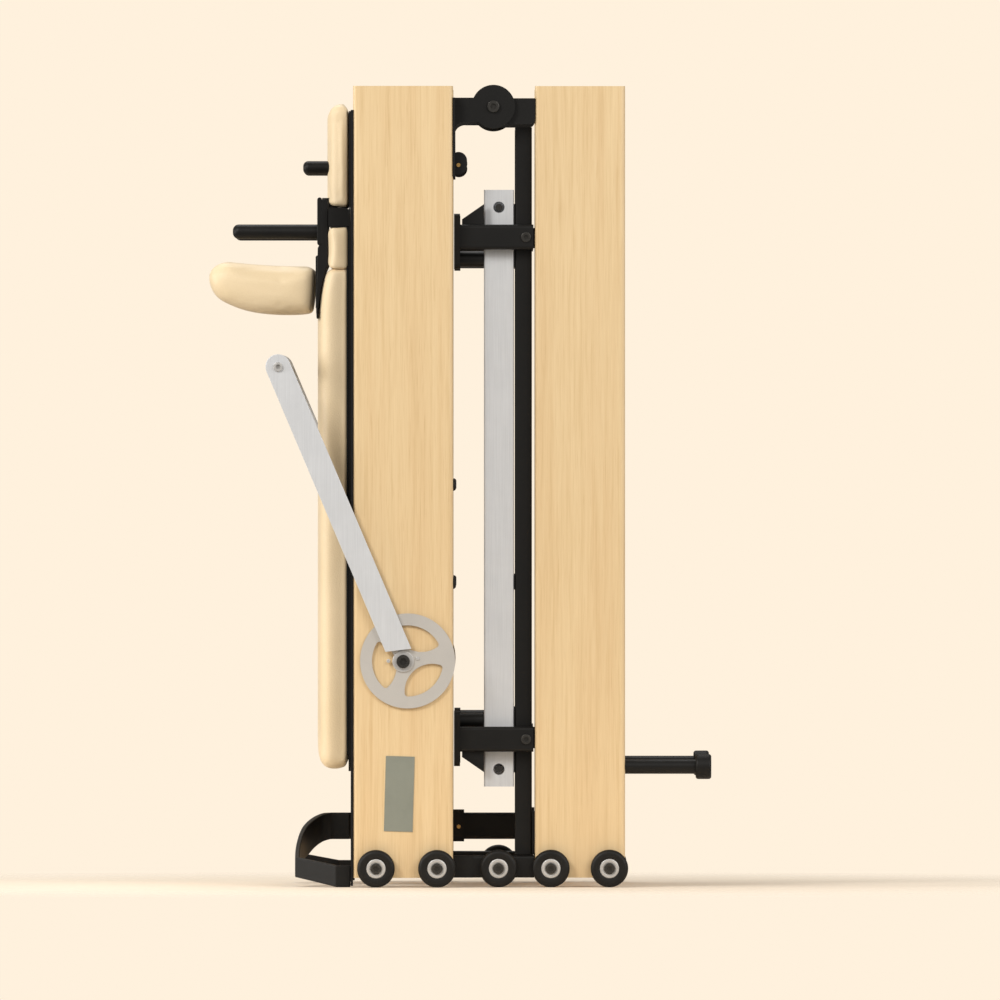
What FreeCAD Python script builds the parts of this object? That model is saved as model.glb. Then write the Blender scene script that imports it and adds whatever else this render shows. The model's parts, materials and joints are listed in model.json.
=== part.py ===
"""Folding pilates reformer, folded shut and standing on its transport wheels.

Frame: +Z up, +X from the half that carries the carriage towards the other half, +Y across the
machine.  The origin is on the floor, in the middle of the whole object.  Unfolded, the machine
lies along Z: the carriage side (-X) is then the top, and the feet (+X) are on the ground.
Everything is in millimetres, and the machine is symmetric about Y = 0, so each piece is built
on its near side (negative Y) and mirrored to the far side.
"""
import FreeCAD, Part
import math
import os
import re

Vector = FreeCAD.Vector
doc = FreeCAD.newDocument("PilatesReformer")
sheet = doc.addObject("Spreadsheet::Sheet", "Sizes")

SIZES = {
    # side rails of both halves: x of the faces, distance of the faces from the middle, z of ends
    "floor_gap": 14.4,
    "left_top": -161.3,
    "left_under": -9.8,
    "left_inner": 277,
    "left_outer": 305,
    "left_end": 1214.4,
    "right_under": 114.4,
    "right_top": 251,
    "right_inner": 248,
    "right_outer": 276,
    "right_end": 1214.4,
    "rail_board": 28,
    "rail_round": 6,
    # cross boards and roller tracks
    "left_cross_top": -112,
    "left_cross_under": -20,
    "right_cross_under": 116,
    "right_cross_top": 208,
    "track_edge": 232,
    "track_thick": 3,
    "left_track_x": -136,
    "right_track_x": 235.8,
    # blank plates on the outer faces of the left rails
    "plate_x": -91.2,
    "plate_z": 141.7,
    "plate_half_x": 21.8,
    "plate_half_z": 57,
    "plate_thick": 1,
    "plate_lean": 1.6,
    # fold hinge
    "fold_x": 51.4,
    "fold_z": 1183.5,
    "fold_pin_radius": 6,
    "fold_hole_radius": 6.05,
    "fold_boss_radius": 32.8,
    "fold_plate": 6,
    "fold_arm_low": 1160,
    "fold_arm_high": 1196.8,
    # transport wheels
    "wheel_radius": 28.5,
    "wheel_width": 20,
    "wheel_ring_radius": 14.9,
    "wheel_gap": 1,
    "axle_radius": 5,
    "axle_clearance": 0.05,
    "axle_head_radius": 8.3,
    "rail_hole_radius": 5.3,
    # footbar
    "pivot_x": -85.3,
    "pivot_z": 342.4,
    "pivot_radius": 8,
    "arm_length": 485,
    "arm_width": 38,
    "arm_toe": 13,
    "arm_heel": 24,
    "arm_plate": 8,
    "arm_lean": 23,
    "arm_gap": 5,
    "end_bolt_radius": 6,
    "grip_half": 278,
    "disc_x": -78.6,
    "disc_z": 343.2,
    "disc_radius": 72,
    "disc_plate": 4,
    "disc_gap": 1,
    "window_far": 54,
    "window_near": 17.5,
    "window_tip": 5,
    "washer_radius": 16.4,
    "washer_thick": 2.5,
    "hub_head_radius": 10.2,
    "hub_head_thick": 5,
    "grip_radius": 16,
    "bar_radius": 12.5,
    # carriage
    "board_top": -168.3,
    "board_under": -165.3,
    "carriage_low": 175.6,
    "carriage_high": 1031,
    "carriage_half": 262,
    "pad_top": -214,
    "pad_half": 255,
    "neck_low": 937.8,
    "block_low": 1001,
    "block_high": 1030.2,
    "rod_z": 994,
    "roller_radius": 13,
    "roller_x": -149.3,
    "roller_half": 233,
    "roller_width": 12,
    "low_roller_z": 260,
    "high_roller_z": 930,
    # headrest
    "head_low": 1031.8,
    "head_high": 1189.6,
    "head_top": -200,
    "head_half": 126,
    "ear_inner": 106,
    "ear_thick": 3,
    "peg_z": 1091.8,
    "tilt_x": -204,
    "tilt_z": 1036,
    # springs
    "spring_x": -128,
    "spring_low": 146,
    "spring_high": 640,
    "spring_radius": 9,
    # underframe of the right half
    "beam_low": 152.2,
    "beam_high": 1057.3,
    "beam_x": 37.1,
    "beam_under": 82.6,
    "tube_x": 84.1,
    "tube_under": 109.8,
    "tube_low": 49.2,
    "tube_high": 1152,
    "frame_inner": 222,
    "frame_outer": 247,
    "upper_leg_z": 985.6,
    "lower_leg_z": 224.2,
    "leg_height": 38,
    "leg_tip": 112.1,
    # centre post at the foot end
    "post_tip": -196,
    "post_root": 112,
    "post_low": 69.5,
    "post_high": 109.8,
    "post_half": 12,
    "pin_radius": 3,
    "pin_x": -1.5,
    "post_pin_z": 88.6,
    "lug_pin_z": 1094.6,
    # end posts on the folding half
    "end_post_y": 262,
    "end_post_z": 182.7,
    "end_post_radius": 11,
    "end_post_tip": 358,
    "end_cap_radius": 19,
    "end_cap_tip": 381.8,
}

for row, (alias, number) in enumerate(SIZES.items(), start=1):
    sheet.set(f"A{row}", alias)
    sheet.set(f"B{row}", str(number))
    sheet.setAlias(f"B{row}", alias)
doc.recompute()

nodes = []
UP_TO_NEAR = FreeCAD.Rotation(Vector(1, 0, 0), 90)
UP_TO_RIGHT = FreeCAD.Rotation(Vector(0, 1, 0), 90)


# ---------------------------------------------------------------- helpers
def value(text):
    """The number that a plain expression over the sheet's names gives."""
    total = 0.0
    for sign, term in re.findall(r"([+-]?)([^+\-]+)", str(text).replace(" ", "")):
        product = 1.0
        for factor in term.split("*"):
            product *= float(sheet.get(factor)) if factor[0].isalpha() else float(factor)
        total += -product if sign == "-" else product
    return total


def cells(text):
    """The same expression with every name pointed at the sheet, for setExpression."""
    return re.sub(r"[a-z_]+", lambda name: "Sizes." + name.group(), str(text))


def box(name, x, y, z):
    """A block between two corners, each given as expressions."""
    solid = doc.addObject("Part::Box", name)
    for side, axis, (low, high) in (("Length", "x", x), ("Width", "y", y), ("Height", "z", z)):
        solid.setExpression(side, cells(f"({high}) - ({low})"))
        solid.setExpression(f"Placement.Base.{axis}", cells(low))
    return solid


def rod(name, radius, x, y, z):
    """A round bar along the one axis that is given as a pair; the other two are its centre."""
    solid = doc.addObject("Part::Cylinder", name)
    solid.setExpression("Radius", cells(radius))
    spans = {"x": x, "y": y, "z": z}
    along = next(axis for axis, span in spans.items() if isinstance(span, tuple))
    low, high = spans[along]
    solid.setExpression("Height", cells(f"({high}) - ({low})"))
    turn = {"x": UP_TO_RIGHT, "y": UP_TO_NEAR, "z": FreeCAD.Rotation()}[along]
    solid.Placement = FreeCAD.Placement(Vector(), turn)
    spans[along] = high if along == "y" else low
    for axis, place in spans.items():
        solid.setExpression(f"Placement.Base.{axis}", cells(place))
    return solid


def fused(name, pieces):
    """Several solids joined into one."""
    whole = doc.addObject("Part::MultiFuse", name)
    whole.Shapes = pieces
    whole.Refine = True
    return whole


def bored(name, base, tools):
    """A solid with other solids cut out of it."""
    cutter = tools[0]
    if len(tools) > 1:
        cutter = doc.addObject("Part::Compound", name + "_cutters")
        cutter.Links = tools
    cut = doc.addObject("Part::Cut", name)
    cut.Base = base
    cut.Tool = cutter
    return cut


def rounded(name, base, radius, wanted):
    """A solid with the edges that wanted(edge) picks rounded to a radius."""
    doc.recompute()
    fillet = doc.addObject("Part::Fillet", name)
    fillet.Base = base
    size = value(radius)
    edges = enumerate(base.Shape.Edges, start=1)
    fillet.Edges = [(index, size, size) for index, edge in edges if wanted(edge)]
    return fillet


def runs_along(axis):
    """A test for straight edges parallel to an axis."""
    def test(edge):
        if not isinstance(edge.Curve, Part.Line):
            return False
        return abs(abs(edge.Curve.Direction.dot(axis)) - 1) < 1e-6
    return test


def round_rims(edge):
    """True for the circular edges of a turned piece."""
    return isinstance(edge.Curve, Part.Circle)


ALONG_X = runs_along(Vector(1, 0, 0))
ALONG_Y = runs_along(Vector(0, 1, 0))
ALONG_Z = runs_along(Vector(0, 0, 1))


def mirrored(source):
    """The far-side twin of a near-side piece."""
    twin = doc.addObject("Part::Mirroring", source.Name + "_far")
    twin.Source = source
    twin.Normal = Vector(0, 1, 0)
    return twin


def keep(label, shape):
    """Make an object a sub-part under its own label."""
    shape.Label = label
    nodes.append(shape)
    return shape


def keep_group(label, members):
    """Several separate solids kept as one sub-part."""
    group = doc.addObject("Part::Compound", label + "_group")
    group.Links = members
    return keep(label, group)


def keep_both_sides(label, near_pieces):
    """Near-side pieces and their far-side twins kept as one sub-part."""
    members = []
    for piece in near_pieces:
        members += [piece, mirrored(piece)]
    return keep_group(label, members)


def plane_of(body, role):
    """One of a body's own origin planes."""
    return next(plane for plane in body.Origin.OriginFeatures if plane.Role == role)


def pad_body(name, role, edges, thickness, place):
    """A PartDesign body: a closed outline on an origin plane, padded to a thickness."""
    body = doc.addObject("PartDesign::Body", name)
    sketch = body.newObject("Sketcher::SketchObject", name + "_outline")
    sketch.AttachmentSupport = [(plane_of(body, role), "")]
    sketch.MapMode = "FlatFace"
    sketch.addGeometry(edges, False)
    pad = body.newObject("PartDesign::Pad", name + "_pad")
    pad.Profile = sketch
    pad.setExpression("Length", cells(thickness))
    for axis, where in zip("xyz", place):
        body.setExpression(f"Placement.Base.{axis}", cells(where))
    doc.recompute()
    return body


def side_plate(name, edges, thickness, inner_face, place=("0", "0")):
    """A plate cut to an outline in X and Z, from its inner face outwards on the near side."""
    return pad_body(name, "XZ_Plane", edges, thickness, (place[0], f"0 - ({inner_face})", place[1]))


def circle(x, y, radius):
    return Part.Circle(Vector(x, y, 0), Vector(0, 0, 1), radius)


def outline(steps):
    """Closed edges from points; a pair of points is an arc's middle and end."""
    edges = []
    start = Vector(*steps[0], 0)
    here = start
    for step in steps[1:] + [steps[0]]:
        if isinstance(step[0], tuple):
            middle = Vector(*step[0], 0)
            there = Vector(*step[1], 0)
            edges.append(Part.Arc(here, middle, there))
        else:
            there = Vector(*step, 0)
            if here.distanceToPoint(there) > 1e-6:
                edges.append(Part.LineSegment(here, there))
        here = there
    return edges


def rectangle(x_low, z_low, x_high, z_high):
    return outline([(x_low, z_low), (x_high, z_low), (x_high, z_high), (x_low, z_high)])


def fillet_body(body, radius, wanted):
    """Round chosen edges of a body's last feature."""
    tip = body.Tip
    fillet = body.newObject("PartDesign::Fillet", body.Name + "_round")
    chosen = enumerate(tip.Shape.Edges, start=1)
    fillet.Base = (tip, [f"Edge{index}" for index, edge in chosen if wanted(edge)])
    fillet.setExpression("Radius", cells(radius))
    doc.recompute()
    return body


def near_rim(item):
    """Picks the round rim at the near end of an object that lies along Y."""
    doc.recompute()
    outermost = item.Shape.BoundBox.YMin
    return lambda edge: round_rims(edge) and edge.CenterOfMass.y < outermost + 0.1


SOCKET_DEPTH = 4


def bolt(name, x, z, head_radius, head_low, head_high, shank_radius, tip):
    """A socket-head bolt across the rail on the near side, head outwards."""
    blank = rod(name + "_head_blank", head_radius, x, (f"0 - ({head_high})", f"0 - ({head_low})"), z)
    head = rounded(name + "_head", blank, "0.8", near_rim(blank))
    shank = rod(name + "_shank", shank_radius, x, (f"0 - ({head_low}) - 0.2", f"0 - ({tip})"), z)
    socket = doc.addObject("Part::Prism", name + "_socket")
    socket.Polygon = 6
    socket.setExpression("Circumradius", cells(f"{head_radius} * 0.55"))
    socket.Height = SOCKET_DEPTH + 1
    socket.Placement = FreeCAD.Placement(Vector(), UP_TO_NEAR)
    for axis, where in zip("xyz", (x, f"0 - ({head_high}) + {SOCKET_DEPTH}", z)):
        socket.setExpression(f"Placement.Base.{axis}", cells(where))
    return bored(name, fused(name + "_blank", [head, shank]), [socket])


# ---------------------------------------------------------------- side rails
def rail(name, top, under, end, inner, holes):
    """A wooden side board with its bolt holes and softened long edges."""
    edges = rectangle(value(top), value("floor_gap"), value(under), value(end))
    if value(top) > value(under):
        edges = rectangle(value(under), value("floor_gap"), value(top), value(end))
    board = side_plate(name, edges + holes, "rail_board", inner)
    return fillet_body(board, "rail_round", ALONG_Z)


WHEELS = {
    "left_outer_wheel": -126.5,
    "left_inner_wheel": -34.1,
    "middle_wheel": 59.1,
    "right_inner_wheel": 138.6,
    "right_outer_wheel": 227.3,
}
LEFT_WHEELS = ("left_outer_wheel", "left_inner_wheel")
RIGHT_WHEELS = ("right_inner_wheel", "right_outer_wheel")


def axle_holes(names):
    return [circle(WHEELS[name], value("wheel_radius"), value("rail_hole_radius")) for name in names]


pivot_hole = circle(value("pivot_x"), value("pivot_z"), value("pivot_radius") + 0.3)
left_rail = rail("left_rail", "left_top", "left_under", "left_end", "left_inner",
                 axle_holes(LEFT_WHEELS) + [pivot_hole])
right_rail = rail("right_rail", "right_top", "right_under", "right_end", "right_inner",
                  axle_holes(RIGHT_WHEELS))
keep_both_sides("carriage_half_rails", [left_rail])
keep_both_sides("folding_half_rails", [right_rail])


# ---------------------------------------------------------------- cross boards and tracks
LEFT_CROSS_Z = (120, 560, 1110)
RIGHT_CROSS_Z = (60, 209, 970, 1160)
keep_group("carriage_half_cross_boards", [
    box(f"left_cross_{index}", ("left_cross_top", "left_cross_under"), ("0 - left_inner", "left_inner"),
        (f"{low}", f"{low} + rail_board"))
    for index, low in enumerate(LEFT_CROSS_Z)
])
keep_group("folding_half_cross_boards", [
    box(f"right_cross_{index}", ("right_cross_under", "right_cross_top"), ("0 - right_inner", "right_inner"),
        (f"{low}", f"{low} + rail_board"))
    for index, low in enumerate(RIGHT_CROSS_Z)
])


def track(name, ledge, flange, half, z):
    """An angle section inside a rail: a ledge for the rollers and a flange on the board."""
    return fused(name, [
        box(name + "_ledge", ledge, ("0 - " + half, "0 - track_edge"), z),
        box(name + "_flange", flange, ("0 - " + half, f"track_thick - {half}"), z),
    ])


keep_both_sides("carriage_half_tracks", [
    track("left_track", ("left_track_x", "left_track_x + track_thick"), ("left_track_x", "left_track_x + 24"),
          "left_inner", ("150", "1150"))])
keep_both_sides("folding_half_tracks", [
    track("right_track", ("right_track_x", "right_track_x + track_thick"),
          ("right_track_x - 21.8", "right_track_x + track_thick"), "right_inner", ("40", "1205"))])
keep_both_sides("rail_edge_strips", [
    box("edge_strip", ("left_top - 3.5", "left_top"), ("0 - 304", "0 - 278"), ("2.3", "1178"))])
plate_reach = (value("plate_half_x"), value("plate_half_z"))
plate_edges = rectangle(-plate_reach[0], -plate_reach[1], *plate_reach)
name_plate = side_plate("side_plate", plate_edges, "plate_thick", "left_outer", ("plate_x", "plate_z"))
name_plate.Placement.Rotation = FreeCAD.Rotation(Vector(0, 1, 0), value("plate_lean"))
keep_both_sides("blank_side_plates", [name_plate])
bumper_discs = [rod(f"bumper_{index}", "9", ("left_under", "left_under + 4.5"), "0 - 291", z)
                for index, z in enumerate(("461.3", "609.8"))]
keep_both_sides("fold_bumpers", [
    rounded(disc.Name + "_dome", disc, "4",
            lambda edge: round_rims(edge) and edge.CenterOfMass.x > value("left_under") + 4)
    for disc in bumper_discs])


# ---------------------------------------------------------------- fold hinge
def hinge_bracket():
    """Left-hand hinge plate, its flange on the rail's underside and the lock lug below it."""
    x, z = value("fold_x"), value("fold_z")
    boss = value("fold_boss_radius")
    high, low, under = value("fold_arm_high"), value("fold_arm_low"), value("left_under")
    reach_high = math.sqrt(boss ** 2 - (high - z) ** 2)
    reach_low = math.sqrt(boss ** 2 - (z - low) ** 2)
    edges = outline([
        (under, high), (x - reach_high, high), ((x + boss, z), (x - reach_low, low)),
        (10, low), ((-3, low - 4), (under + 1.5, low - 14.5)), (under, low - 14.5)])
    plate = side_plate("hinge_plate", edges + [circle(x, z, value("fold_hole_radius"))],
                       "fold_plate", "left_inner + 0.5")
    flange = box("hinge_flange", ("left_under", "left_under + 3"), ("0 - 304", "0 - left_inner - 0.5"),
                 ("1077", "fold_arm_high"))
    lobes = []
    for index, centre in enumerate(("1093.5", "1101.5")):
        disc = rod(f"lug_disc_{index}", "13", "pin_x", ("0 - 290", "0 - 283"), centre)
        hole = rod(f"lug_hole_{index}", "pin_radius + 0.05", "pin_x", ("0 - 291", "0 - 282"), "lug_pin_z")
        lobes.append(bored(f"lug_lobe_{index}", disc, [hole]))
    overhang = box("lug_overhang", ("left_under - 20", "left_under"), ("0 - 295", "0 - 280"),
                   ("1060", "1130"))
    return bored("hinge_bracket", fused("hinge_bracket_blank", [plate, flange] + lobes), [overhang])


def hinge_arm():
    """Right-hand hinge arm, inboard of the plate, with its flange on the other rail."""
    x, z = value("fold_x"), value("fold_z")
    boss = 29
    high, low = 1196, 1156.5
    under = value("right_under")
    reach_high = math.sqrt(boss ** 2 - (high - z) ** 2)
    reach_low = math.sqrt(boss ** 2 - (z - low) ** 2)
    edges = outline([
        (under, high), (x + reach_high, high), ((x - boss, z), (x + reach_low, low)),
        (under - 8, low), ((under - 3, low + 2), (under, low + 8))])
    plate = side_plate("hinge_arm_plate", edges + [circle(x, z, value("fold_hole_radius"))],
                       "fold_plate", "right_outer - fold_plate")
    flange = box("hinge_arm_flange", ("right_under - 3", "right_under"), ("0 - 276", "0 - 249"),
                 ("1163", "1196"))
    return fused("hinge_arm", [plate, flange])


keep_both_sides("fold_hinge_brackets", [hinge_bracket()])
keep_both_sides("fold_hinge_arms", [hinge_arm()])
keep_both_sides("fold_hinge_bolts", [
    bolt("fold_bolt", "fold_x", "fold_z", "9", "left_inner + 6.7", "left_inner + 12",
         "fold_pin_radius", "266")])


# ---------------------------------------------------------------- foot end: legs, post and stirrups
def end_leg():
    """Tube under the foot end, with a tab on the rail's inner face and a hole for its wheel."""
    z = ("floor_gap", "47.7")
    blank = box("end_leg_tube", ("left_under + 1.5", "112.9"), ("0 - 275.5", "0 - 248.5"), z)
    tube = rounded("end_leg_round", blank, "4", ALONG_X)
    tab = box("end_leg_tab", ("0 - 70", "20"), ("0 - left_inner", "0 - 271"), z)
    holes = [rod(f"end_leg_hole_{index}", "rail_hole_radius", x, ("0 - 280", "0 - 245"), "wheel_radius")
             for index, x in enumerate((WHEELS["left_inner_wheel"], WHEELS["middle_wheel"]))]
    return bored("end_leg", fused("end_leg_blank", [tube, tab]), holes)


keep_both_sides("foot_end_legs", [end_leg()])

post_blank = box("post_bar", ("post_tip", "post_root"), ("0 - post_half", "post_half"),
                 ("post_low", "post_high"))
post_bar = rounded("post_round", post_blank, "5", ALONG_X)
post_hole = rod("post_hole", "pin_radius + 0.05", "pin_x", ("0 - 30", "30"), "post_pin_z")
keep("foot_end_post", bored("foot_end_post_bar", post_bar, [post_hole]))

bracket_x = ("0 - 60", "6.8")
sleeve = box("post_sleeve", bracket_x, ("0 - post_half - 5", "post_half + 5"),
             ("post_low - 3.5", "post_high + 4.7"))
sleeve_bore = box("post_sleeve_bore", ("0 - 70", "20"), ("0 - post_half - 0.1", "post_half + 0.1"),
                  ("post_low - 0.1", "post_high + 0.1"))
sleeve_window = rod("post_sleeve_hole", "pin_radius + 0.05", "pin_x", ("0 - 31", "31"), "post_pin_z")
keep("foot_end_post_bracket", bored("foot_end_post_sleeve", sleeve, [sleeve_bore, sleeve_window]))

lock_pins = [rod("lug_pin", "pin_radius", "pin_x", ("0 - 292", "0 - 281"), "lug_pin_z")]
lock_pins.append(mirrored(lock_pins[0]))
lock_pins.append(rod("post_pin", "pin_radius", "pin_x", ("0 - 19", "19"), "post_pin_z"))
keep_group("brass_lock_pins", lock_pins)


def band_outline(points, thickness):
    """Closed outline of a band of even thickness along an open run of points."""
    sides = ([], [])
    for index, (x, y) in enumerate(points):
        before = points[max(index - 1, 0)]
        after = points[min(index + 1, len(points) - 1)]
        runs = [Vector(x - before[0], y - before[1], 0), Vector(after[0] - x, after[1] - y, 0)]
        normals = [Vector(-run.y, run.x, 0).normalize() for run in runs if run.Length > 0]
        mitre = sum(normals[1:], normals[0]).normalize()
        mitre *= thickness / 2 / mitre.dot(normals[0])
        sides[0].append((x + mitre.x, y + mitre.y))
        sides[1].append((x - mitre.x, y - mitre.y))
    return outline(sides[0] + sides[1][::-1])


def stirrup():
    """Upright band from the near rail's end, folded back and rising to the centre post."""
    route = [(-164.9, -291), (-186, -291), (-246, -247), (-245.5, -200), (-242.5, -147), (-238, -105),
             (-231, -73), (-222, -48), (-212, -30), (-202, -20.5), (-193, -16.2), (-168, -16.2)]
    band = pad_body("stirrup_band", "XY_Plane", band_outline(route, 7), "150", ("0", "0", "0 - 20"))
    lower_edge = [(-310, 0.2), (-290, 0.2), (-246, 15.5), (-147, 31), (-75, 48), (-20, 69.5), (-5, 69.5)]
    upper_edge = [(-5, 109.8), (-20, 109.5), (-75, 93.5), (-147, 73), (-246, 45), (-290, 33), (-310, 33)]
    profile = outline(lower_edge + upper_edge)
    slab = pad_body("stirrup_slab", "YZ_Plane", profile, "120", ("0 - 260", "0", "0"))
    shape = doc.addObject("Part::MultiCommon", "stirrup")
    shape.Shapes = [band, slab]
    return shape


keep_both_sides("foot_stirrups", [stirrup()])


# ---------------------------------------------------------------- transport wheels
def wheel(name, x, inner_face):
    """Tyre and hub ring of one near-side wheel, as two solids on one centre."""
    face = f"({inner_face} + wheel_gap)"
    z = "wheel_radius"
    tyre_y = (f"0 - {face} - wheel_width", f"0 - {face}")
    ring_y = (f"0 - {face} - wheel_width + 1.5", f"0 - {face}")
    disc = rounded(name + "_tread", rod(name + "_disc", "wheel_radius", x, tyre_y, z), "5", round_rims)
    eye = rod(name + "_eye", "wheel_ring_radius", x, ("0 - 340", "0 - 200"), z)
    tyre = bored(name + "_tyre", disc, [eye])
    ring = bored(name + "_ring", rod(name + "_hub", "wheel_ring_radius - 0.05", x, ring_y, z),
                 [rod(name + "_bore", "axle_radius + axle_clearance", x, ("0 - 340", "0 - 200"), z)])
    near = keep_group(name + "_near", [tyre, ring])
    keep_group(name + "_far", [mirrored(tyre), mirrored(ring)])
    return near


def axle_bolt(name, x, inner_face, tip):
    face = f"{inner_face} + wheel_gap + wheel_width"
    return bolt(name, x, "wheel_radius", "axle_head_radius", f"{face} - 1.2", f"{face} + 1.4",
                "axle_radius", tip)


for wheel_name, wheel_x in WHEELS.items():
    wheel(wheel_name, wheel_x, "left_outer" if wheel_name in LEFT_WHEELS else "right_outer")

keep_both_sides("carriage_half_axle_bolts", [
    axle_bolt("left_axle_a", WHEELS["left_outer_wheel"], "left_outer", "268"),
    axle_bolt("left_axle_b", WHEELS["left_inner_wheel"], "left_outer", "266"),
    axle_bolt("middle_axle", WHEELS["middle_wheel"], "right_outer", "246")])
keep_both_sides("folding_half_axle_bolts", [
    axle_bolt(f"right_axle_{index}", WHEELS[name], "right_outer", "240")
    for index, name in enumerate(RIGHT_WHEELS)])


# ---------------------------------------------------------------- footbar
WINDOW_ANGLES = (-94, -8)


def index_disc():
    """Plate with three lens-shaped windows; it carries the arm and turns with it on the hub bolt."""
    hub = circle(value("pivot_x - disc_x"), value("pivot_z - disc_z"), value("pivot_radius") + 0.05)
    rim = circle(0, 0, value("disc_radius"))
    body = side_plate("index_disc", [rim, hub], "disc_plate", "left_outer + disc_gap", ("disc_x", "disc_z"))
    pad = body.Tip

    def polar(radius, degrees):
        angle = math.radians(degrees)
        return (radius * math.cos(angle), radius * math.sin(angle))

    far, near = value("window_far"), value("window_near")
    first, last = WINDOW_ANGLES
    middle = (first + last) / 2
    sketch = body.newObject("Sketcher::SketchObject", "index_disc_window")
    sketch.AttachmentSupport = [(plane_of(body, "XZ_Plane"), "")]
    sketch.MapMode = "FlatFace"
    sketch.addGeometry(outline([polar(far, first), (polar(far, middle), polar(far, last)),
                                (polar(near, middle), polar(far, first))]), False)
    pocket = body.newObject("PartDesign::Pocket", "index_disc_pocket")
    pocket.Profile = sketch
    pocket.Type = "ThroughAll"
    pocket.Reversed = True
    doc.recompute()
    if pocket.Shape.Volume > pad.Shape.Volume - 1:
        raise RuntimeError("the disc's window cuts nothing")
    pattern = body.newObject("PartDesign::PolarPattern", "index_disc_windows")
    pattern.Originals = [pocket]
    pattern.Axis = (sketch, ["N_Axis"])
    pattern.Angle = 360
    pattern.Occurrences = 3
    body.Tip = pattern
    doc.recompute()
    return fillet_body(body, "window_tip", ALONG_Y)


keep_both_sides("footbar_index_discs", [index_disc()])


def footbar_arm():
    """Flat bar on the disc's face, cut level just above the washer, with a round drilled head."""
    half = value("arm_width") / 2
    length = value("arm_length")
    edges = outline([
        (half, value("arm_toe")), (half, length), ((0, length + half), (-half, length)),
        (-half, value("arm_heel"))])
    edges.append(circle(0, length, value("end_bolt_radius") + 0.05))
    arm = pad_body("footbar_arm", "XZ_Plane", edges, "arm_plate",
                   ("pivot_x", "0 - left_outer - arm_gap", "pivot_z"))
    fillet_body(arm, "1", lambda edge: not ALONG_Y(edge) and edge.Length > 60)
    arm.Placement.Rotation = FreeCAD.Rotation(Vector(0, 1, 0), -value("arm_lean"))
    doc.recompute()
    return arm


lean = math.radians(value("arm_lean"))
bar_x = f"{value('pivot_x') - value('arm_length') * math.sin(lean):.3f}".replace("-", "0 - ")
bar_z = f"{value('pivot_z') + value('arm_length') * math.cos(lean):.3f}"
arm_face = "(left_outer + arm_gap)"

keep_both_sides("footbar_arms", [footbar_arm()])
bar_y = (f"0 - {arm_face}", arm_face)
through_y = (f"0 - {arm_face} - 2", f"{arm_face} + 2")
keep("footbar_crossbar", bored(
    "footbar_tube", rod("footbar_tube_blank", "bar_radius", bar_x, bar_y, bar_z),
    [rod("footbar_tube_bore", "end_bolt_radius + 0.05", bar_x, through_y, bar_z)]))
grip_blank = rod("footbar_grip_blank", "grip_radius", bar_x, ("0 - grip_half", "grip_half"), bar_z)
keep("footbar_grip", bored(
    "footbar_grip_foam", rounded("footbar_grip_round", grip_blank, "3", round_rims),
    [rod("footbar_grip_bore", "bar_radius + 0.05", bar_x, through_y, bar_z)]))
end_bolt = bolt("footbar_end_bolt", bar_x, bar_z, "7", f"{arm_face} + arm_plate",
                f"{arm_face} + arm_plate + 3.5", "end_bolt_radius", "270")

hub_face = "left_outer + disc_gap + disc_plate"
washer_y = (f"0 - ({hub_face}) - washer_thick", f"0 - ({hub_face})")
washer_disc = rod("hub_washer_disc", "washer_radius", "pivot_x", washer_y, "pivot_z")
washer_blank = rounded("hub_washer_round", washer_disc, "1", near_rim(washer_disc))
washer_bore = rod("hub_washer_bore", "pivot_radius + 0.05", "pivot_x", ("0 - 320", "0 - 300"), "pivot_z")
hub_washer = bored("hub_washer", washer_blank, [washer_bore])
hub_bolt = bolt("hub_bolt", "pivot_x", "pivot_z", "hub_head_radius", f"{hub_face} + washer_thick",
                f"{hub_face} + washer_thick + hub_head_thick", "pivot_radius", "268")
keep_both_sides("footbar_hub_bolts", [hub_bolt])
disc_screws = []
for index, (x, z) in enumerate((("0 - 107.6", "343.1"), ("0 - 63.3", "346.6"))):
    screw_head = rod(f"disc_screw_head_{index}", "3", x, (f"0 - ({hub_face}) - 1.4", f"0 - ({hub_face})"), z)
    disc_screws.append(rounded(f"disc_screw_{index}", screw_head, "0.8", near_rim(screw_head)))
keep_both_sides("footbar_screws", [end_bolt, hub_washer] + disc_screws)


# ---------------------------------------------------------------- carriage
board_blank = box("carriage_plate", ("board_top", "board_under"), ("0 - carriage_half", "carriage_half"),
                  ("carriage_low", "carriage_high"))
keep("carriage_board", rounded("carriage_board_round", board_blank, "12", ALONG_X))

roller_bores = [rod(f"axle_hole_{index}", "5.05", "roller_x", ("0 - 240", "240"), z)
                for index, z in enumerate(("low_roller_z", "high_roller_z"))]
channels = [box("channel_near", ("board_under", "0 - 139"), ("0 - 229", "0 - 205"), ("190", "1010"))]
channels.append(mirrored(channels[0]))
crossbars = [box(f"frame_bar_{index}", ("board_under", "0 - 147"), ("0 - 210", "210"), (f"{z}", f"{z} + 24"))
             for index, z in enumerate((192, 984))]
hook_bar = box("spring_hook_bar", ("board_under", "0 - 117"), ("0 - 210", "210"),
               ("spring_high", "spring_high + 16"))
chassis_blank = fused("carriage_chassis_blank", channels + crossbars + [hook_bar])
keep("carriage_frame", bored("carriage_chassis", chassis_blank, roller_bores))


def roller_axle(label, z):
    """A cross shaft with a roller fixed on each end, running on the ledges of the tracks."""
    shaft = rod(label + "_shaft", "5", "roller_x", ("0 - 246", "246"), z)
    near_y = ("0 - roller_half - roller_width", "0 - roller_half")
    disc = rod(label + "_disc", "roller_radius", "roller_x", near_y, z)
    eye = rod(label + "_eye", "5", "roller_x", ("0 - 250", "0 - 220"), z)
    roller = bored(label + "_roller", rounded(label + "_tread", disc, "2", round_rims), [eye])
    return keep_group(label, [shaft, roller, mirrored(roller)])


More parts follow.
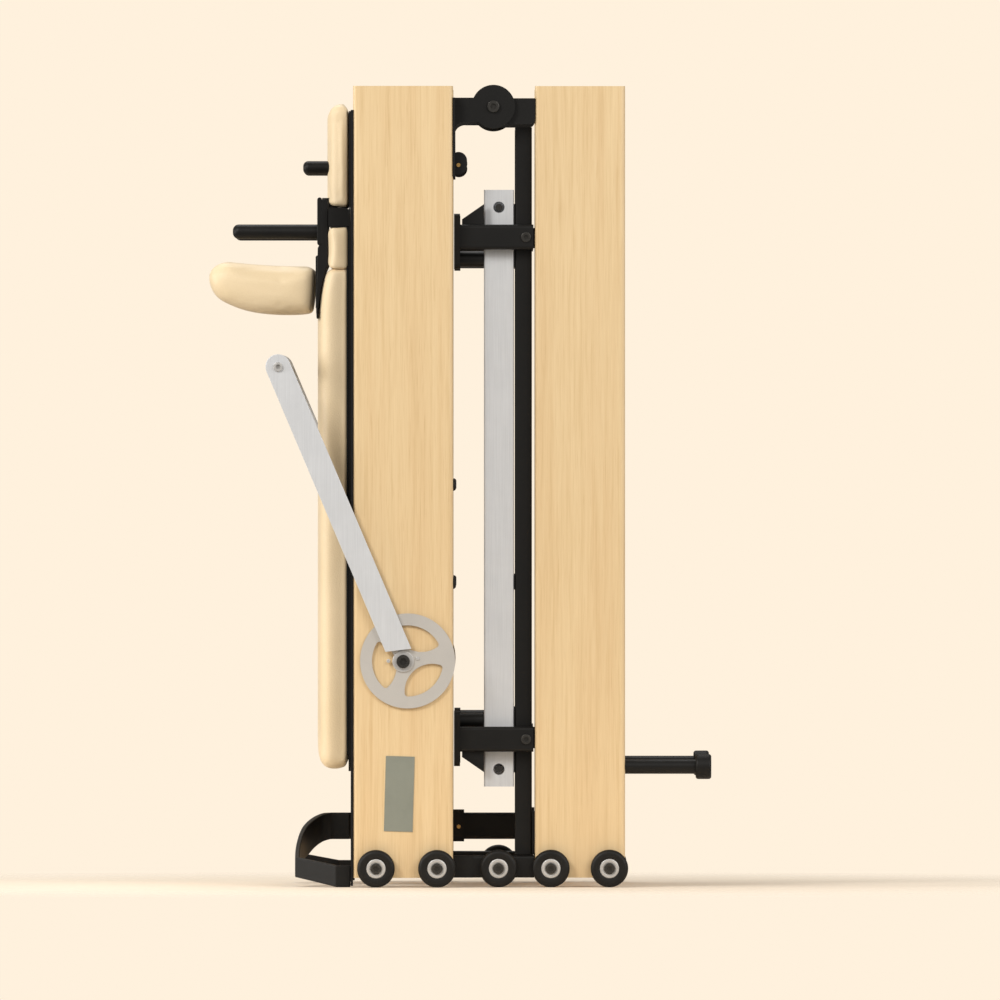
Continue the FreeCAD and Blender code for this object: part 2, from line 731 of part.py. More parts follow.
roller_axle("lower_roller_axle", "low_roller_z")
roller_axle("upper_roller_axle", "high_roller_z")

pad_low, pad_high = value("carriage_low"), value("neck_low") - 0.6
pad_back, pad_top = value("board_top") - 0.2, value("pad_top")
pad_side = outline([(pad_back, pad_high), (pad_top + 10, pad_high - 1), (pad_top, pad_high - 62),
                    (pad_top, pad_low + 24), ((pad_top + 6, pad_low + 7), (pad_top + 22, pad_low)),
                    (pad_back, pad_low)])


def cushion(label, edges, half):
    """A plain cushion: its side outline carried across the machine."""
    return keep(label, side_plate(label + "_block", edges, f"{half} + {half}", f"0 - {half}"))


cushion("main_pad", pad_side, "pad_half")
neck_edges = rectangle(value("head_top + 1.4"), value("neck_low"), pad_back, value("block_low") - 0.6)
cushion("neck_pad", neck_edges, "pad_half")
block_blank = box("shoulder_bar", ("head_top + 0.8", "board_top"), ("0 - 250", "250"),
                  ("block_low", "block_high"))
keep("shoulder_block", rounded("shoulder_block_round", block_blank, "4", ALONG_Y))


def shoulder_bracket():
    """Upright plate on the block: a rod mount above and a tongue down to the shoulder pad."""
    spine = side_plate("bracket_spine", outline([
        (-199.2, 1042), (-208.6, 1042), (-208.6, 940), (-210.8, 929), (-217.8, 884), (-215.2, 882),
        (-208.4, 927), (-205.6, 938.5), (-199.2, 947)]),
        "106", "132")
    rod_mount = box("bracket_rod_mount", ("0 - 215", "0 - 208.6"), ("0 - 238", "0 - 200"), ("970", "1045"))
    pad_mount = box("bracket_pad_mount", ("0 - 217.8", "0 - 208.6"), ("0 - 226", "0 - 150"), ("923", "962"))
    headrest_pin = rod("headrest_pin", "pin_radius", "tilt_x", ("0 - 133", "0 - ear_inner + 1"), "tilt_z")
    return fused("shoulder_bracket", [spine, rod_mount, pad_mount, headrest_pin])


keep_both_sides("shoulder_brackets", [shoulder_bracket()])
rod_blank = rod("shoulder_rod_bar", "11", ("0 - 344", "0 - 215"), "0 - 219", "rod_z")
long_rod = rounded("shoulder_rod_round", rod_blank, "9",
                   lambda edge: round_rims(edge) and edge.CenterOfMass.x < -340)
keep_both_sides("shoulder_rods", [long_rod])
shoulder_side = outline([
    (-378.2, 909.4), ((-378.6, 935), (-356, 947.6)), ((-300, 941.6), (-226.2, 939.6)),
    ((-220.5, 936.5), (-218.2, 929.6)), (-222.4, 874.2), ((-300, 868.2), (-378.2, 909.4))])
keep_both_sides("shoulder_pads", [side_plate("shoulder_cushion", shoulder_side, "98", "134")])

# ---------------------------------------------------------------- headrest
ear_y = ("0 - ear_inner - ear_thick", "0 - ear_inner")
ear_plate = box("headrest_ear_plate", ("0 - 209", "board_under"), ear_y, ("head_low", "1046"))
ear_hole = rod("headrest_ear_hole", "pin_radius + 0.05", "tilt_x", ("0 - 140", "0 - ear_inner + 5"), "tilt_z")
ear = bored("headrest_ear", ear_plate, [ear_hole])
back = box("headrest_back", ("board_top", "board_under"), ("0 - head_half", "head_half"),
           ("head_low", "1178"))
keep("headrest_board", fused("headrest_tray", [back, ear, mirrored(ear)]))
head_edges = outline([
    (pad_back, value("head_low")), (value("head_top"), value("head_low")),
    (value("head_top"), value("head_high") - 16),
    ((-184.3, value("head_high")), (pad_back, value("head_high") - 16))])
head_block = side_plate("headrest_block", head_edges, "head_half + head_half", "0 - head_half")
peg_holes = [rod("peg_hole", "10.9", ("0 - 260", "0 - 160"), "0 - 96", "peg_z")]
peg_holes.append(mirrored(peg_holes[0]))
ear_slots = [box("ear_slot", ("0 - 210", "board_top"),
                 ("0 - ear_inner - ear_thick - 0.2", "0 - ear_inner + 0.2"), ("head_low - 1", "1046.3"))]
ear_slots.append(mirrored(ear_slots[0]))
keep("headrest_pad", bored("headrest_cushion", head_block, peg_holes + ear_slots))
keep_both_sides("headrest_pegs", [rounded(
    "peg_round", rod("peg_bar", "10.4", ("0 - 238", "board_top"), "0 - 96", "peg_z"), "8",
    lambda edge: round_rims(edge) and edge.CenterOfMass.x < -230)])

# ---------------------------------------------------------------- springs
keep("spring_bar", box("spring_anchor", ("0 - 140", "left_cross_top"), ("0 - left_inner", "left_inner"),
                       ("122", "145.6")))
coils = [rod(f"spring_{index}", "spring_radius", "spring_x", f"{y}", ("spring_low", "spring_high - 0.4"))
         for index, y in enumerate((-150, -75, 0, 75, 150))]
keep_group("resistance_springs", coils)


# ---------------------------------------------------------------- underframe of the folding half
frame_y = ("0 - frame_outer", "0 - frame_inner")
leg_y = ("0 - frame_outer - 25.5", "0 - frame_outer - 0.5")
BOLT_X = 100.8
ACCESS_X = 59.8
LEG_ENDS = (("upper", "upper_leg_z", 1, 1031, 6.6, 33), ("lower", "lower_leg_z", -1, 178.6, 1.2, 28))


def hollow(name, x, y, z, wall):
    """A square tube along Z."""
    low_x, high_x = x
    low_y, high_y = y
    outer = rounded(name + "_skin", box(name + "_solid", x, y, z), "3", ALONG_Z)
    inner = box(name + "_bore", (f"{low_x} + {wall}", f"{high_x} - {wall}"),
                (f"{low_y} + {wall}", f"{high_y} - {wall}"), (f"{z[0]} - 5", f"{z[1]} + 5"))
    return bored(name, outer, [inner])


def leg_set(end, z, side, access_z, pad_offset, stem_offset):
    """Leg bar, foot pad, gusset, levelling stem, bolt and saddle of one near-side foot."""
    leg_z = (f"{z} - 0.5 * leg_height", f"{z} + 0.5 * leg_height")
    bar = rounded(f"{end}_leg_round", box(f"{end}_leg_bar", ("0.8", "leg_tip"), leg_y, leg_z), "5", ALONG_X)
    bar = bored(f"{end}_leg", bar, [rod(f"{end}_leg_hole", "4.3", f"{BOLT_X}", ("0 - 290", "0 - 240"), z)])
    middle = value(z) - pad_offset * side
    pad = rounded(f"{end}_foot_round", box(f"{end}_foot_block", ("0 - 8.3", "0.8"), ("0 - 275.5", "0 - 228"),
                                           (f"{middle - 42}", f"{middle + 42}")), "8", ALONG_X)
    edge_z = value(z) + side * value("leg_height") / 2
    gusset = side_plate(f"{end}_gusset", outline([
        (3.8, edge_z), (3.8, edge_z + 8 * side), (37.1, edge_z + 31 * side), (37.1, edge_z)]),
        "6", "frame_outer + 10")
    stem_z = value(z) - stem_offset * side
    stem = rod(f"{end}_stem", "12", ("0.8", "beam_x"), "0 - 0.5 * frame_inner - 0.5 * frame_outer",
               f"{stem_z}")
    screw = bolt(f"{end}_leg_bolt", f"{BOLT_X}", z, "7.5", "frame_outer + 25.5", "frame_outer + 28.5", "4.2",
                 "frame_outer")
    access = rod(f"{end}_access_head", "5", f"{ACCESS_X}", ("0 - frame_outer + 3.5", "0 - frame_inner - 3.2"),
                 f"{access_z}")
    reach = sorted((access_z + 5 * side, access_z - 91 * side))
    saddle = box(f"{end}_saddle", ("beam_under", "tube_x"), frame_y, (f"{reach[0]}", f"{reach[1]}"))
    spacer = box(f"{end}_spacer", ("tube_under", "116"), frame_y, (f"{z} - 14", f"{z} + 14"))
    return {"leg": bar, "pad": pad, "gusset": gusset, "stem": stem, "bolt": screw, "access": access,
            "saddle": saddle, "spacer": spacer}


legs = [leg_set(*end) for end in LEG_ENDS]
keep_both_sides("leg_bars", [leg["leg"] for leg in legs])
keep_both_sides("foot_pads", [leg["pad"] for leg in legs])
keep_both_sides("leg_gussets", [leg["gusset"] for leg in legs])
keep_both_sides("levelling_stems", [leg["stem"] for leg in legs])
keep_both_sides("leg_bolts", [leg["bolt"] for leg in legs] + [leg["access"] for leg in legs])
keep_both_sides("saddle_plates", [leg["saddle"] for leg in legs] + [leg["spacer"] for leg in legs] + [
    box("mid_saddle", ("beam_under", "tube_x"), frame_y, ("451", "473")),
    box("toe_spacer", ("tube_under", "114"), frame_y, ("tube_low", "115"))])

beam = hollow("beam", ("beam_x", "beam_under"), frame_y, ("beam_low", "beam_high"), "3")
windows = [rod(f"beam_window_{end}", "8.6", f"{ACCESS_X}", ("0 - 250", "0 - 235"), f"{access_z}")
           for end, _, _, access_z, _, _ in LEG_ENDS]
keep_both_sides("underframe_beams", [bored("underframe_beam", beam, windows)])
tube = hollow("underframe_tube", ("tube_x", "tube_under"), frame_y, ("tube_low", "tube_high"), "3")
keep_both_sides("underframe_tubes", [tube])

post_place = ("0 - end_post_y", "end_post_z")
keep_both_sides("end_posts", [rod("end_post", "end_post_radius", ("right_top", "end_post_tip"), *post_place)])
cap_disc = rod("post_cap_blank", "end_cap_radius", ("end_post_tip", "end_cap_tip"), *post_place)
keep_both_sides("end_post_caps", [rounded("post_cap", cap_disc, "4", round_rims)])


# ---------------------------------------------------------------- checks and export
def check_document():
    """Stop on any object that failed to rebuild and on any sub-part that isn't sound."""
    doc.recompute()
    for item in doc.Objects:
        if "Invalid" in item.State or "Error" in item.State:
            raise RuntimeError(f"{item.Label} did not rebuild: {item.State}")
    for node in nodes:
        if node.Shape.isNull() or not node.Shape.isValid():
            raise RuntimeError(f"{node.Label} has no valid shape")


check_document()
os.makedirs("parts", exist_ok=True)
for node in nodes:
    node.Shape.exportStep(f"parts/{node.Label}.step")
    bounds = node.Shape.BoundBox
    print(f"{node.Label}: {len(node.Shape.Solids)} solids, x {bounds.XMin:.1f} {bounds.XMax:.1f}, "
          f"y {bounds.YMin:.1f} {bounds.YMax:.1f}, z {bounds.ZMin:.1f} {bounds.ZMax:.1f}")
print(f"{len(nodes)} sub-parts")
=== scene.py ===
"""Looks of a folding pilates reformer, folded shut and standing on its transport wheels."""
import json
import math

import bmesh
import bpy
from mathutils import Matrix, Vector


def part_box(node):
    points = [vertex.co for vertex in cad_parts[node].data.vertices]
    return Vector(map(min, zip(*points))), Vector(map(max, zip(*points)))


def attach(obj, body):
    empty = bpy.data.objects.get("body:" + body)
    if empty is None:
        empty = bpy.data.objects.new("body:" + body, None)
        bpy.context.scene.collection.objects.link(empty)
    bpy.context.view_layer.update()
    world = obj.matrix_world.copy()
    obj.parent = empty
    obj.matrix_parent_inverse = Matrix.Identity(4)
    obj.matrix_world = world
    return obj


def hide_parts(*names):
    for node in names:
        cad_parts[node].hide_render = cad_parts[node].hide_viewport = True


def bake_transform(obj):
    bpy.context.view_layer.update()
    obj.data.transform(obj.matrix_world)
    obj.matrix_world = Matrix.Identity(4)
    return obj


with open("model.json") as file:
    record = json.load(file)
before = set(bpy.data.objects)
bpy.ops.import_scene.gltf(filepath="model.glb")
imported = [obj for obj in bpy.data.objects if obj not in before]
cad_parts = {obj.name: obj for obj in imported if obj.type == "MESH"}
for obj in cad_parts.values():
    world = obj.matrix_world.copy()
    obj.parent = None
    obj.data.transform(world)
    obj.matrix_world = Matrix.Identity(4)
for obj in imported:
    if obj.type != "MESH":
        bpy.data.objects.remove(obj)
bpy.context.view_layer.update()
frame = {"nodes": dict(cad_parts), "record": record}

SCENE = bpy.context.scene
NODES = frame["nodes"]
MM = 0.001

# ---------------------------------------------------------------- camera, light and floor
CAMERA_PLACE = Vector((0.050, -48.305, 0.700))
CAMERA_TARGET = Vector((0.0614, -0.305, 0.587))
CAMERA_LENS = 1140.6
BACKDROP = (1.0, 0.880, 0.723)
FLOOR_RADIUS = 1.6


def make_camera():
    data = bpy.data.cameras.new("camera")
    data.lens = CAMERA_LENS
    data.sensor_width = 36
    data.clip_start = 5
    data.clip_end = 120
    camera = bpy.data.objects.new("camera", data)
    SCENE.collection.objects.link(camera)
    camera.location = CAMERA_PLACE
    camera.rotation_euler = (CAMERA_TARGET - CAMERA_PLACE).to_track_quat("-Z", "Y").to_euler()
    SCENE.camera = camera


def area_light(name, place, target, size, power, color=(1, 1, 1)):
    data = bpy.data.lights.new(name, "AREA")
    data.shape = "DISK"
    data.size = size
    data.energy = power
    data.color = color
    light = bpy.data.objects.new(name, data)
    light.location = place
    light.rotation_euler = (Vector(target) - Vector(place)).to_track_quat("-Z", "Y").to_euler()
    light.visible_camera = False
    SCENE.collection.objects.link(light)


def make_world():
    world = bpy.data.worlds.new("studio")
    world.use_nodes = True
    nodes, links = world.node_tree.nodes, world.node_tree.links
    nodes.clear()
    output = nodes.new("ShaderNodeOutputWorld")
    mix = nodes.new("ShaderNodeMixShader")
    ray = nodes.new("ShaderNodeLightPath")
    seen = nodes.new("ShaderNodeBackground")
    seen.inputs["Color"].default_value = (*BACKDROP, 1)
    ambient = nodes.new("ShaderNodeBackground")
    ambient.inputs["Color"].default_value = (1.0, 0.94, 0.86, 1)
    ambient.inputs["Strength"].default_value = 0.34
    links.new(ray.outputs["Is Camera Ray"], mix.inputs["Fac"])
    links.new(ambient.outputs[0], mix.inputs[1])
    links.new(seen.outputs[0], mix.inputs[2])
    links.new(mix.outputs[0], output.inputs[0])
    SCENE.world = world
    SCENE.view_settings.view_transform = "Standard"


make_camera()
make_world()
area_light("key", (-2.6, -3.6, 3.2), (0, 0, 0.6), 1.8, 126, (1.0, 0.98, 0.95))
area_light("front", (2.6, -4.0, 2.6), (0, 0, 0.6), 3.0, 86, (1.0, 0.98, 0.95))
area_light("left", (-4.2, -0.8, 1.4), (0, 0, 0.7), 2.4, 88, (1.0, 0.98, 0.95))
area_light("right", (3.8, -1.2, 1.6), (0, 0, 0.6), 2.0, 26)
area_light("top", (-0.6, 1.6, 4.4), (0, 0, 0.6), 2.5, 60)


# ---------------------------------------------------------------- materials
def linear(red, green, blue):
    """Screen colour, 0 to 255, as linear light."""
    def channel(level):
        level /= 255
        return level / 12.92 if level <= 0.04045 else ((level + 0.055) / 1.055) ** 2.4
    return (channel(red), channel(green), channel(blue), 1)


class Finish:
    """One procedural material: a principled shader and short ways to add nodes to it."""

    def __init__(self, name, **sockets):
        self.material = bpy.data.materials.new(name)
        self.material.use_nodes = True
        self.tree = self.material.node_tree
        self.shader = self.tree.nodes["Principled BSDF"]
        for socket, level in sockets.items():
            self.shader.inputs[socket.replace("_", " ")].default_value = level
        self.place = self.tree.nodes.new("ShaderNodeTexCoord").outputs["Object"]

    def link(self, source, target):
        self.tree.links.new(source, target)

    def scaled(self, scale):
        node = self.tree.nodes.new("ShaderNodeMapping")
        node.inputs["Scale"].default_value = scale
        self.link(self.place, node.inputs["Vector"])
        return node.outputs["Vector"]

    def noise(self, scale, stretch=(1, 1, 1), detail=3, roughness=0.5, distortion=0):
        node = self.tree.nodes.new("ShaderNodeTexNoise")
        node.inputs["Scale"].default_value = scale
        node.inputs["Detail"].default_value = detail
        node.inputs["Roughness"].default_value = roughness
        node.inputs["Distortion"].default_value = distortion
        self.link(self.scaled(stretch), node.inputs["Vector"])
        return node.outputs["Fac"]

    def cells(self, scale, feature="F1"):
        node = self.tree.nodes.new("ShaderNodeTexVoronoi")
        node.feature = feature
        node.inputs["Scale"].default_value = scale
        self.link(self.place, node.inputs["Vector"])
        return node.outputs["Distance"]

    def ramp(self, factor, stops):
        node = self.tree.nodes.new("ShaderNodeValToRGB")
        elements = node.color_ramp.elements
        while len(elements) < len(stops):
            elements.new(0.5)
        for element, (place, color) in zip(elements, stops):
            element.position = place
            element.color = color
        self.link(factor, node.inputs["Fac"])
        return node.outputs["Color"]

    def spread(self, factor, low, high):
        """The factor's middle half stretched to run from low to high."""
        node = self.tree.nodes.new("ShaderNodeMapRange")
        node.inputs["From Min"].default_value = 0.25
        node.inputs["From Max"].default_value = 0.75
        node.inputs["To Min"].default_value = low
        node.inputs["To Max"].default_value = high
        self.link(factor, node.inputs["Value"])
        return node.outputs["Result"]

    def multiply(self, share, first, second):
        """The first color multiplied by the second, as strongly as the share says."""
        node = self.tree.nodes.new("ShaderNodeMix")
        node.data_type = "RGBA"
        node.blend_type = "MULTIPLY"
        node.inputs["Factor"].default_value = share
        for socket, color in (("A", first), ("B", second)):
            target = next(entry for entry in node.inputs if entry.name == socket and entry.type == "RGBA")
            self.link(color, target)
        return next(entry for entry in node.outputs if entry.type == "RGBA")

    def color(self, source):
        self.link(source, self.shader.inputs["Base Color"])

    def rough(self, factor, low, high):
        self.link(self.spread(factor, low, high), self.shader.inputs["Roughness"])

    def bump(self, heights):
        """Bumps stacked on each other: pairs of a height and its depth in metres."""
        normal = None
        for height, depth in heights:
            node = self.tree.nodes.new("ShaderNodeBump")
            node.inputs["Distance"].default_value = depth
            self.link(height, node.inputs["Height"])
            if normal is not None:
                self.link(normal, node.inputs["Normal"])
            normal = node.outputs["Normal"]
        self.link(normal, self.shader.inputs["Normal"])


def wood_finish():
    """Pale ash veneer: long soft streaks, fine fibres and faint pores along Z, under satin lacquer."""
    wood = Finish("ash_wood", Coat_Weight=0.18, Coat_Roughness=0.32)
    streaks = wood.noise(30, (1, 1, 0.035), detail=4, roughness=0.55, distortion=0.6)
    grain = wood.noise(160, (1, 1, 0.03), detail=3, roughness=0.6, distortion=0.4)
    fibres = wood.noise(900, (1, 1, 0.018), detail=2, roughness=0.6)
    pores = wood.noise(1500, (1, 1, 0.012), detail=1)
    base = wood.ramp(wood.spread(streaks, 0, 1), [
        (0.0, linear(226, 196, 150)), (0.45, linear(232, 205, 160)), (1.0, linear(236, 211, 167))])
    veined = wood.multiply(0.75, base, wood.ramp(wood.spread(grain, 0, 1), [
        (0.0, (0.84, 0.78, 0.68, 1)), (0.5, (0.97, 0.95, 0.92, 1)), (1.0, (1, 1, 1, 1))]))
    lined = wood.multiply(0.6, veined, wood.ramp(wood.spread(fibres, 0, 1), [
        (0.0, (0.88, 0.84, 0.78, 1)), (1.0, (1, 1, 1, 1))]))
    wood.color(wood.multiply(0.5, lined, wood.ramp(pores, [
        (0.28, (0.78, 0.68, 0.56, 1)), (0.36, (1, 1, 1, 1))])))
    wood.rough(grain, 0.50, 0.40)
    wood.bump([(grain, 0.00012), (fibres, 0.00006)])
    return wood.material


def powder_coat(name, dark, light, rough=(0.36, 0.50)):
    """Powder-coated steel: fine orange-peel texture with slightly worn, lighter patches."""
    coat = Finish(name, Specular_IOR_Level=0.28)
    peel = coat.noise(1500, detail=2)
    patches = coat.noise(22, detail=5, roughness=0.6)
    coat.color(coat.ramp(coat.spread(patches, 0, 1), [(0.0, dark), (1.0, light)]))
    coat.rough(peel, *rough)
    coat.bump([(peel, 0.00009)])
    return coat.material


def brushed_metal(name, low, high, stretch, rough, metallic=1.0):
    """Satin metal with fine brush lines along the stretched axis and faint handling marks."""
    metal = Finish(name, Metallic=metallic)
    lines = metal.noise(1400, stretch, detail=2)
    marks = metal.noise(18, detail=6, roughness=0.65)
    shades = metal.ramp(metal.spread(lines, 0, 1), [(0.0, low), (1.0, high)])
    metal.color(metal.multiply(0.35, shades, metal.ramp(marks, [
        (0.35, (0.86, 0.86, 0.86, 1)), (0.65, (1, 1, 1, 1))])))
    metal.rough(lines, *rough)
    metal.bump([(lines, 0.00003)])
    return metal.material


def vinyl_finish():
    """Cream upholstery vinyl: pebbled leather grain, soft sheen and slight tone variation."""
    vinyl = Finish("cream_vinyl", Sheen_Weight=0.12, Sheen_Roughness=0.5,
                   Coat_Weight=0.06, Coat_Roughness=0.45)
    pebbles = vinyl.cells(520)
    creases = vinyl.cells(260, feature="DISTANCE_TO_EDGE")
    clouds = vinyl.noise(9, detail=4, roughness=0.55)
    base = vinyl.ramp(vinyl.spread(clouds, 0, 1), [
        (0.0, linear(229, 207, 168)), (1.0, linear(236, 215, 179))])
    vinyl.color(vinyl.multiply(0.25, base, vinyl.ramp(pebbles, [
        (0.0, (1, 1, 1, 1)), (0.9, (0.90, 0.86, 0.80, 1))])))
    vinyl.rough(clouds, 0.46, 0.54)
    vinyl.bump([(creases, 0.00012), (pebbles, 0.00016)])
    return vinyl.material


def rubber_finish(name, dark, light, rough):
    """Matt rubber or foam with a fine open speckle."""
    rubber = Finish(name, Specular_IOR_Level=0.22)
    speckle = rubber.noise(2200, detail=3, roughness=0.7)
    bloom = rubber.noise(30, detail=5)
    rubber.color(rubber.ramp(rubber.spread(bloom, 0, 1), [(0.0, dark), (1.0, light)]))
    rubber.rough(speckle, *rough)
    rubber.bump([(speckle, 0.00012)])
    return rubber.material


ALONG_RAILS = (1, 1, 0.01)
BLACK = (0.0042, 0.0040, 0.0037, 1)
SOFT_BLACK = (0.0068, 0.0064, 0.0058, 1)
FINISHES = {
    "wood": wood_finish(),
    "black_metal": powder_coat("black_powder_coat", BLACK, SOFT_BLACK),
    "aluminium": brushed_metal("satin_aluminium", linear(203, 205, 208), linear(216, 218, 221), ALONG_RAILS,
                               (0.38, 0.52), metallic=0.15),
    "grey_metal": brushed_metal("grey_disc_paint", linear(186, 182, 176), linear(200, 196, 190), (1, 1, 1),
                                (0.40, 0.50), metallic=0.12),
    "upholstery": vinyl_finish(),
    "rubber": rubber_finish("black_rubber", (0.0055, 0.0052, 0.0048, 1), (0.0095, 0.0089, 0.0080, 1),
                            (0.40, 0.52)),
    "tyre": rubber_finish("wheel_tyre", (0.0075, 0.0070, 0.0062, 1), (0.0125, 0.0115, 0.0102, 1),
                          (0.40, 0.50)),
    "steel": brushed_metal("zinc_steel", linear(184, 182, 180), linear(206, 205, 203), (1, 0.02, 1),
                           (0.28, 0.42), metallic=0.35),
    "brass": brushed_metal("satin_brass", linear(205, 160, 92), linear(232, 190, 122), (1, 0.05, 1),
                           (0.24, 0.36)),
    "label": powder_coat("blank_plate", linear(131, 134, 123), linear(139, 142, 131), (0.46, 0.56)),
    "bolt": brushed_metal("black_oxide", (0.045, 0.043, 0.040, 1), (0.080, 0.076, 0.070, 1), (1, 1, 1),
                          (0.24, 0.36), metallic=0.7),
}


def floor_material():
    """Pale matt floor that fades out towards its rim."""
    floor = Finish("pale_floor", Roughness=0.9)
    speck = floor.noise(60, detail=4)
    floor.color(floor.ramp(speck, [(0.3, linear(247, 232, 212)), (0.7, linear(251, 237, 218))]))
    tree = floor.tree
    distance = tree.nodes.new("ShaderNodeVectorMath")
    distance.operation = "LENGTH"
    floor.link(floor.place, distance.inputs[0])
    fade = tree.nodes.new("ShaderNodeMapRange")
    fade.interpolation_type = "SMOOTHSTEP"
    fade.inputs["From Min"].default_value = 0.30 * FLOOR_RADIUS
    fade.inputs["From Max"].default_value = 0.95 * FLOOR_RADIUS
    fade.inputs["To Min"].default_value = 1
    fade.inputs["To Max"].default_value = 0
    floor.link(distance.outputs["Value"], fade.inputs["Value"])
    floor.link(fade.outputs["Result"], floor.shader.inputs["Alpha"])
    return floor.material


def make_floor():
    bpy.ops.mesh.primitive_circle_add(vertices=96, radius=FLOOR_RADIUS, fill_type="NGON")
    floor = bpy.context.object
    floor.name = "floor"
    floor.data.materials.append(floor_material())


make_floor()

slot_of = {row["node"]: row["material_slot"] for row in frame["record"]["subparts"]}
for node, slot in slot_of.items():
    for holder in NODES[node].material_slots:
        holder.material = FINISHES[slot]
    if not NODES[node].material_slots:
        NODES[node].data.materials.append(FINISHES[slot])


# ---------------------------------------------------------------- mesh helpers
def new_piece(name, mesh, slot, body, replaced):
    """Link a mesh as a piece: its finish, the body it rides on and the CAD nodes it stands for."""
    piece = bpy.data.objects.new(name, mesh)
    SCENE.collection.objects.link(piece)
    piece.data.materials.append(FINISHES[slot])
    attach(piece, body)
    for node in replaced:
        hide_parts(node)


def mesh_from(name, points, faces):
    mesh = bpy.data.meshes.new(name)
    mesh.from_pydata(points, [], faces)
    mesh.update()
    for face in mesh.polygons:
        face.use_smooth = True
    return mesh


def turned(name, profile, centre, axis_sign, segments=96):
    """A closed turned mesh about Y from (radius, distance along the axis) points."""
    points, faces = [], []
    count = len(profile)
    for step in range(segments):
        angle = 2 * math.pi * step / segments
        for radius, along in profile:
            points.append((centre[0] + radius * math.cos(angle), centre[1] + axis_sign * along,
                           centre[2] + radius * math.sin(angle)))
    for step in range(segments):
        here, there = step * count, (step + 1) % segments * count
        for index in range(count):
            after = (index + 1) % count
            corners = (here + index, here + after, there + after, there + index)
            faces.append(corners if axis_sign > 0 else corners[::-1])
    return mesh_from(name, points, faces)


def arc_points(centre, radius, start, end, steps):
    """Points of an arc in the profile plane, angles in degrees."""
    turn = [math.radians(start + (end - start) * step / steps) for step in range(steps + 1)]
    return [(centre[0] + radius * math.cos(angle), centre[1] + radius * math.sin(angle)) for angle in turn]


def prism(name, outline, low_y, high_y, bevel):
    """A plate from an (x, z) outline in millimetres, carried along Y, with softened edges."""
    count = len(outline)
    points = [(x * MM, y * MM, z * MM) for y in (low_y, high_y) for x, z in outline]
    faces = [tuple(range(count)), tuple(reversed(range(count, 2 * count)))]
    faces += [(index, count + index, count + (index + 1) % count, (index + 1) % count)
              for index in range(count)]
    return softened(name, mesh_from(name, points, faces), bevel)


def softened(name, mesh, bevel):
    """The mesh with outward faces and rounded sharp edges."""
    work = bmesh.new()
    work.from_mesh(mesh)
    bmesh.ops.recalc_face_normals(work, faces=work.faces)
    work.to_mesh(mesh)
    work.free()
    piece = bpy.data.objects.new(name, mesh)
    SCENE.collection.objects.link(piece)
    rounding = piece.modifiers.new("round", "BEVEL")
    rounding.limit_method = "ANGLE"
    rounding.angle_limit = math.radians(28)
    rounding.width = bevel * MM
    rounding.segments = 3
    rounding.harden_normals = True
    apply_modifiers(piece)
    result = piece.data
    bpy.data.objects.remove(piece)
    return result


def evaluated_copy(piece):
    """The piece's mesh with its modifiers applied."""
    graph = bpy.context.evaluated_depsgraph_get()
    return bpy.data.meshes.new_from_object(piece.evaluated_get(graph))


def apply_modifiers(piece):
    mesh = evaluated_copy(piece)
    piece.modifiers.clear()
    piece.data = mesh
    for face in mesh.polygons:
        face.use_smooth = True


# ---------------------------------------------------------------- transport wheels
def make_wheel(node):
    """Tyre with a rounded tread and two fine grooves, and a bearing ring set into its face."""
    low, high = (Vector(corner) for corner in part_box(node))
    side = -1 if low.y < 0 else 1
    inner = min(abs(low.y), abs(high.y))
    centre = ((low.x + high.x) / 2, side * inner, (low.z + high.z) / 2)
    outer_radius = (high.x - low.x) / 2
    width = high.y - low.y
    ring_radius, hub_radius, shaft_radius = 14.9 * MM, 8.6 * MM, 5.1 * MM
    round_edge, chamfer, recess, groove = 6 * MM, 0.7 * MM, 0.5 * MM, 0.5 * MM
    tyre_back, ring_back, face = 0.6 * MM, 0.5 * MM, width - 1.3 * MM
    half_tread = [(1.0 * MM, 0), (1.4 * MM, groove), (2.0 * MM, groove), (2.4 * MM, 0)]
    tread = [(outer_radius - depth, width * 0.5 - along) for along, depth in reversed(half_tread)]
    tread += [(outer_radius - depth, width * 0.5 + along) for along, depth in half_tread]
    inner_lip = [(3.2 * MM, 0), (1.6 * MM, 0.5 * MM), (0.5 * MM, 0.6 * MM), (0, 1.1 * MM)]
    tyre_profile = [(ring_radius, tyre_back)]
    tyre_profile += arc_points((outer_radius - round_edge, round_edge), round_edge, -90, 0, 8)
    tyre_profile += tread
    tyre_profile += arc_points((outer_radius - round_edge, width - round_edge), round_edge, 0, 90, 8)
    tyre_profile += [(ring_radius + beyond, width - sunk) for beyond, sunk in inner_lip]
    tyre = turned(node + "_tyre", tyre_profile, centre, side)
    new_piece(node + "_tyre", tyre, "tyre", node, [node])
    ring_profile = [(shaft_radius, ring_back), (ring_radius, ring_back), (ring_radius, face - chamfer),
                    (ring_radius - chamfer, face), (hub_radius + 1.2 * MM, face),
                    (hub_radius + 0.6 * MM, face - recess), (shaft_radius, face - recess)]
    new_piece(node + "_ring", turned(node + "_ring", ring_profile, centre, side), "steel", node, [node])


for wheel_node in sorted(name for name in NODES if "_wheel_" in name):
    make_wheel(wheel_node)


